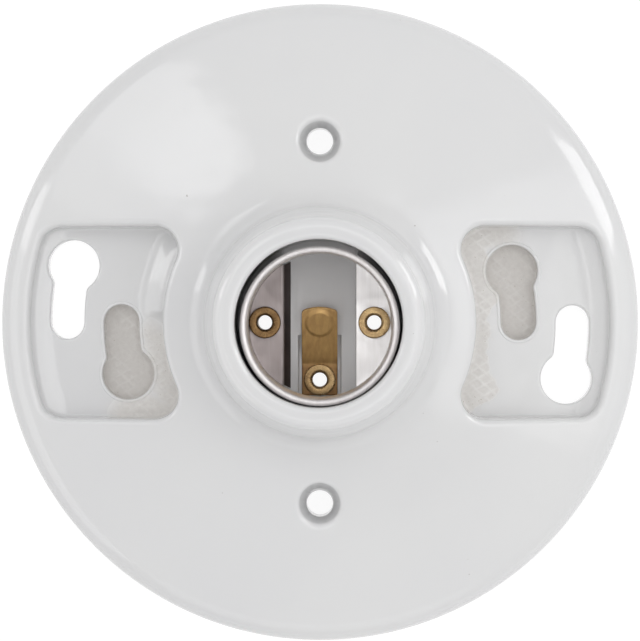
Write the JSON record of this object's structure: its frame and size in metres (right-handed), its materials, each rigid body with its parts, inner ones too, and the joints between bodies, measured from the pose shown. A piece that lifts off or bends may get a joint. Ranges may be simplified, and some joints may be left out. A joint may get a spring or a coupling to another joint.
{
  "type": "porcelain lamp holder",
  "caption": "Keyless ceiling lamp holder: a glazed porcelain disc and collar with a threaded metal shell, a sprung centre contact, keyhole pockets and two back terminals.",
  "frame": {"origin": "centre of the flat back of the disc, where it meets the ceiling box", "axes": "+Z out of the mouth of the socket, +X through the keyhole pockets, +Y through the plain screw holes"},
  "size_m": [0.112, 0.112, 0.044],
  "materials": {
    "glazed_porcelain": "white glaze, glossy, with unglazed patches in the pockets",
    "shell_aluminium": "pressed sheet, bright at the lip",
    "contact_brass": "rolled strip, slightly dull",
    "eyelet_brass": "tarnished brown at the flange",
    "terminal_brass": "satin",
    "terminal_nickel": "nickel plated, satin"
  },
  "bodies": {
    "holder": {"porcelain_body": "glazed_porcelain", "screw_shell": "shell_aluminium", "shell_eyelet_left": "eyelet_brass", "shell_eyelet_right": "eyelet_brass", "contact_eyelet": "eyelet_brass", "eyelet_washer": "eyelet_brass", "hot_terminal_plate": "terminal_brass", "neutral_terminal_plate": "terminal_nickel"},
    "contact": {"centre_contact": "contact_brass"},
    "hot_washer": {"hot_clamp_washer": "terminal_brass"},
    "hot_screw": {"hot_terminal_screw": "terminal_brass"},
    "neutral_washer": {"neutral_clamp_washer": "terminal_nickel"},
    "neutral_screw": {"neutral_terminal_screw": "terminal_nickel"}
  },
  "joints": [
    {"name": "contact_press", "type": "hinge", "parent": "holder", "child": "contact", "pos_m": [0, -0.0071, 0.01245], "axis": [-1, 0, 0], "range_deg": [0, 8], "stiffness_Nm_per_rad": 0.4, "deforming": ["centre_contact"]},
    {"name": "hot_washer_slide", "type": "slide", "parent": "holder", "child": "hot_washer", "axis": [0, 0, -1], "range_m": [0, 0.00198]},
    {"name": "hot_screw_turn", "type": "hinge", "parent": "hot_washer", "child": "hot_screw", "pos_m": [-0.011, -0.014, 0.006], "axis": [0, 0, -1], "range_deg": [0, 900]},
    {"name": "neutral_washer_slide", "type": "slide", "parent": "holder", "child": "neutral_washer", "axis": [0, 0, -1], "range_m": [0, 0.00198]},
    {"name": "neutral_screw_turn", "type": "hinge", "parent": "neutral_washer", "child": "neutral_screw", "pos_m": [0.011, 0.014, 0.006], "axis": [0, 0, -1], "range_deg": [0, 900]}
  ],
  "couplings": [
    {"joint": "hot_screw_turn", "follows": "hot_washer_slide", "rad_per_m": 7913.3},
    {"joint": "neutral_screw_turn", "follows": "neutral_washer_slide", "rad_per_m": 7913.3}
  ]
}
